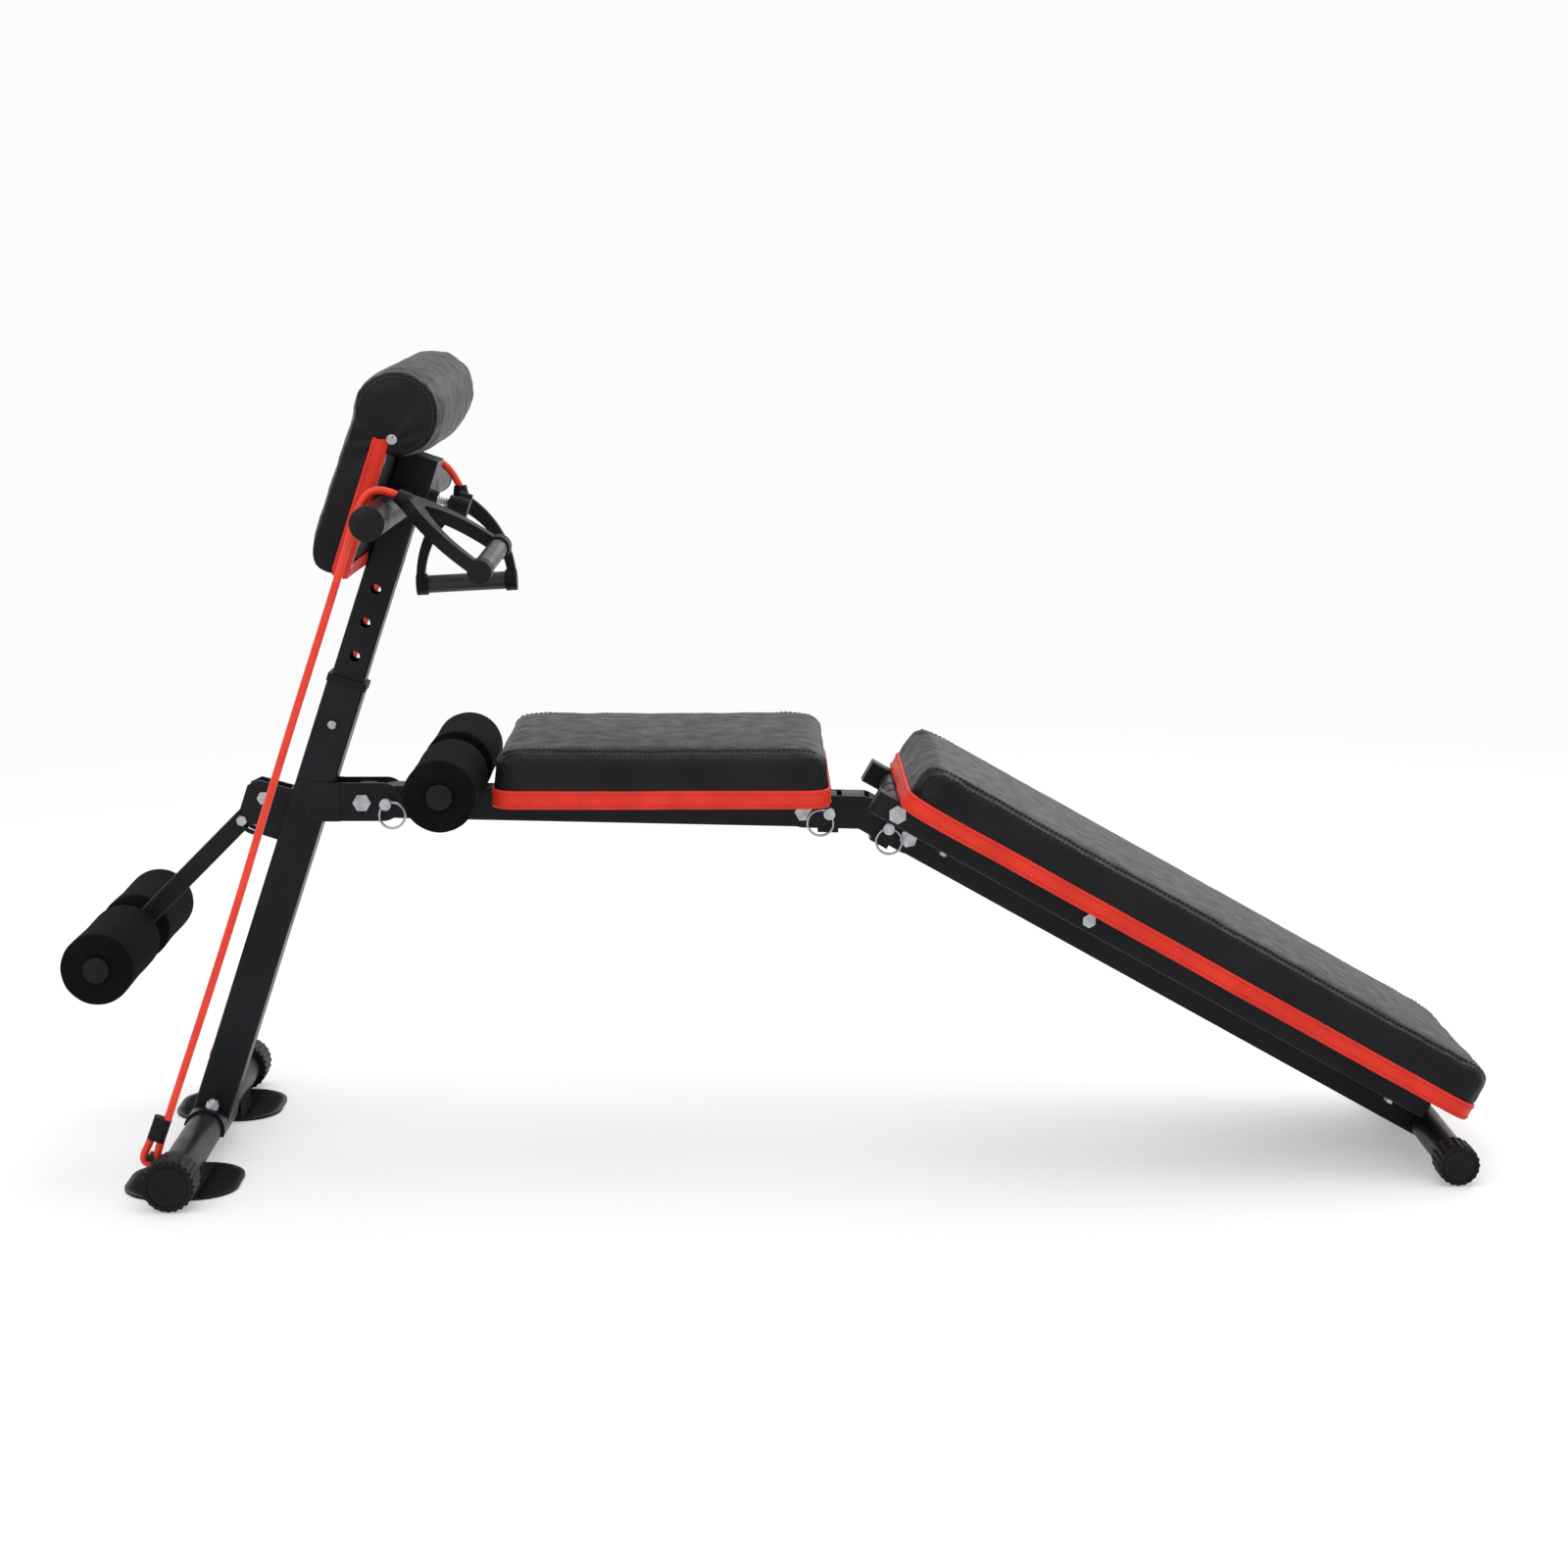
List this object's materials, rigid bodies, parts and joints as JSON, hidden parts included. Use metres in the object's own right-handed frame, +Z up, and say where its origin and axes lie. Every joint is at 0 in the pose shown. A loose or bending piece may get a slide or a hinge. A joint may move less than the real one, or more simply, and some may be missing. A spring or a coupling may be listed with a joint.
{
  "type": "decline sit up bench",
  "caption": "Folding sit-up bench: arched square-tube frame, height-set leg pad on a post, foam leg rollers, seat, tilting backrest and elastic pull bands with handles",
  "frame": {"origin": "on the floor, below the middle of the whole bench", "axes": "X runs along the bench from the post to the rear foot, Y across it, Z up"},
  "size_m": [1.4704, 0.6638, 0.8451],
  "materials": {
    "satin_black_steel": "satin powder coat",
    "black_leather": "grained vinyl leather",
    "red_band": "smooth latex tube",
    "black_foam": "closed-cell foam",
    "black_plastic": "moulded matte plastic",
    "zinc_steel": "zinc plated",
    "board": "dark painted board",
    "black_rubber": "moulded grip rubber"
  },
  "bodies": {
    "post": {"front_base_tube": "satin_black_steel", "base_end_caps": "black_plastic", "foot_plates": "satin_black_steel", "post_saddle": "satin_black_steel", "outer_post": "satin_black_steel", "post_bushing": "black_plastic", "seat_clevis": "satin_black_steel", "arm_clevis": "satin_black_steel", "band_eyes": "satin_black_steel", "post_bolts": "zinc_steel", "band_sleeves": "black_plastic", "near_band": "red_band", "far_band": "red_band"},
    "height_pin": {"height_pin": "zinc_steel"},
    "head": {"inner_post": "satin_black_steel", "head_block": "satin_black_steel", "handlebar": "satin_black_steel", "handlebar_caps": "black_plastic", "upper_pad_bracket": "satin_black_steel", "upper_pad_board": "board", "upper_pad": "black_leather", "upper_pad_screws": "zinc_steel", "near_handle_frame": "black_plastic", "far_handle_frame": "black_plastic"},
    "knob": {"clamp_screw": "zinc_steel", "star_knob": "black_plastic"},
    "near_grip": {"near_handle_grip": "black_rubber"},
    "far_grip": {"far_handle_grip": "black_rubber"},
    "arm": {"shin_arm": "satin_black_steel", "arm_lock_screw": "zinc_steel", "shin_roller_plugs": "black_plastic"},
    "near_shin_roller": {"near_shin_foam": "black_foam"},
    "far_shin_roller": {"far_shin_foam": "black_foam"},
    "seat": {"seat_beam": "satin_black_steel", "seat_roller_axle": "satin_black_steel", "seat_roller_plugs": "black_plastic", "seat_pad_brackets": "satin_black_steel", "seat_board": "board", "seat_pad": "black_leather"},
    "near_seat_roller": {"near_seat_foam": "black_foam"},
    "far_seat_roller": {"far_seat_foam": "black_foam"},
    "elbow_link": {"elbow": "satin_black_steel", "elbow_bolts": "zinc_steel"},
    "leg": {"rear_leg": "satin_black_steel", "rear_cross_tube": "satin_black_steel", "rear_end_caps": "black_plastic"},
    "backrest": {"backrest_rails": "satin_black_steel", "rail_caps": "black_plastic", "backrest_board": "board", "backrest_pad": "black_leather", "backrest_bolts": "zinc_steel"},
    "strut": {"backrest_strut": "satin_black_steel"},
    "seat_pin": {"seat_lock_pin": "zinc_steel"},
    "seat_ring": {"seat_pin_ring": "zinc_steel"},
    "front_elbow_pin": {"front_elbow_lock_pin": "zinc_steel"},
    "front_elbow_ring": {"front_elbow_pin_ring": "zinc_steel"},
    "rear_elbow_pin": {"rear_elbow_lock_pin": "zinc_steel"},
    "rear_elbow_ring": {"rear_elbow_pin_ring": "zinc_steel"}
  },
  "joints": [
    {"name": "head_slide", "type": "slide", "parent": "post", "child": "head", "axis": [0.3173, 0, 0.9483], "range_m": [-0.0373, 0.0746], "deforming": ["near_band", "far_band"]},
    {"name": "height_pin_pull", "type": "slide", "parent": "post", "child": "height_pin", "axis": [0, 1, 0], "range_m": [0, 0.05]},
    {"name": "star_knob_turn", "type": "hinge", "parent": "head", "child": "knob", "pos_m": [-0.33559, 0, 0.68791], "axis": [0.9483, 0, -0.3173], "continuous": true},
    {"name": "near_grip_spin", "type": "hinge", "parent": "head", "child": "near_grip", "pos_m": [-0.28884, -0.228, 0.65567], "axis": [0.0978, 0.9853, 0.1397], "continuous": true},
    {"name": "far_grip_spin", "type": "hinge", "parent": "head", "child": "far_grip", "pos_m": [-0.35412, 0.228, 0.58661], "axis": [0.9986, 0, 0.0523], "continuous": true},
    {"name": "arm_swing", "type": "hinge", "parent": "post", "child": "arm", "pos_m": [-0.5501, 0, 0.3822], "axis": [0, -1, 0], "range_deg": [0, 29.4]},
    {"name": "near_shin_roller_spin", "type": "hinge", "parent": "arm", "child": "near_shin_roller", "pos_m": [-0.70001, -0.0985, 0.23229], "axis": [0, 1, 0], "continuous": true},
    {"name": "near_seat_roller_spin", "type": "hinge", "parent": "seat", "child": "near_seat_roller", "pos_m": [-0.3486, -0.0985, 0.41], "axis": [0, 1, 0], "continuous": true},
    {"name": "far_shin_roller_spin", "type": "hinge", "parent": "arm", "child": "far_shin_roller", "pos_m": [-0.70001, 0.0985, 0.23229], "axis": [0, 1, 0], "continuous": true},
    {"name": "far_seat_roller_spin", "type": "hinge", "parent": "seat", "child": "far_seat_roller", "pos_m": [-0.3486, 0.0985, 0.41], "axis": [0, 1, 0], "continuous": true},
    {"name": "seat_fold", "type": "hinge", "parent": "post", "child": "seat", "pos_m": [-0.4455, 0, 0.3785], "axis": [0, 1, 0], "range_deg": [0, 60]},
    {"name": "elbow_fold", "type": "hinge", "parent": "seat", "child": "elbow_link", "pos_m": [0.0216, 0, 0.3675], "axis": [0, 1, 0], "range_deg": [0, 60]},
    {"name": "leg_fold", "type": "hinge", "parent": "elbow_link", "child": "leg", "pos_m": [0.1327, 0, 0.3389], "axis": [0, 1, 0], "range_deg": [0, 30]},
    {"name": "backrest_tilt", "type": "hinge", "parent": "elbow_link", "child": "backrest", "pos_m": [0.1167, 0, 0.38], "axis": [0, -1, 0], "range_deg": [0, 60]},
    {"name": "strut_swing", "type": "hinge", "parent": "backrest", "child": "strut", "pos_m": [0.31628, 0, 0.26772], "axis": [0, 1, 0], "range_deg": [0, 128.4]},
    {"name": "seat_pin_pull", "type": "slide", "parent": "post", "child": "seat_pin", "axis": [0, -1, 0], "range_m": [0, 0.06]},
    {"name": "seat_ring_swing", "type": "hinge", "parent": "seat_pin", "child": "seat_ring", "pos_m": [-0.41991, -0.031, 0.3779], "axis": [-0.866, 0, -0.5], "range_deg": [0, 80]},
    {"name": "front_elbow_pin_pull", "type": "slide", "parent": "elbow_link", "child": "front_elbow_pin", "axis": [0, -1, 0], "range_m": [0, 0.06]},
    {"name": "front_elbow_ring_swing", "type": "hinge", "parent": "front_elbow_pin", "child": "front_elbow_ring", "pos_m": [0.04859, -0.031, 0.36686], "axis": [-0.7193, 0, 0.6947], "range_deg": [0, 80]},
    {"name": "rear_elbow_pin_pull", "type": "slide", "parent": "elbow_link", "child": "rear_elbow_pin", "axis": [0, -1, 0], "range_m": [0, 0.06]},
    {"name": "rear_elbow_ring_swing", "type": "hinge", "parent": "rear_elbow_pin", "child": "rear_elbow_ring", "pos_m": [0.11178, -0.031, 0.35067], "axis": [-1, 0, 0], "range_deg": [0, 80]}
  ],
  "couplings": [
    {"joint": "strut_swing", "follows": "backrest_tilt", "ratio": 2.14}
  ]
}
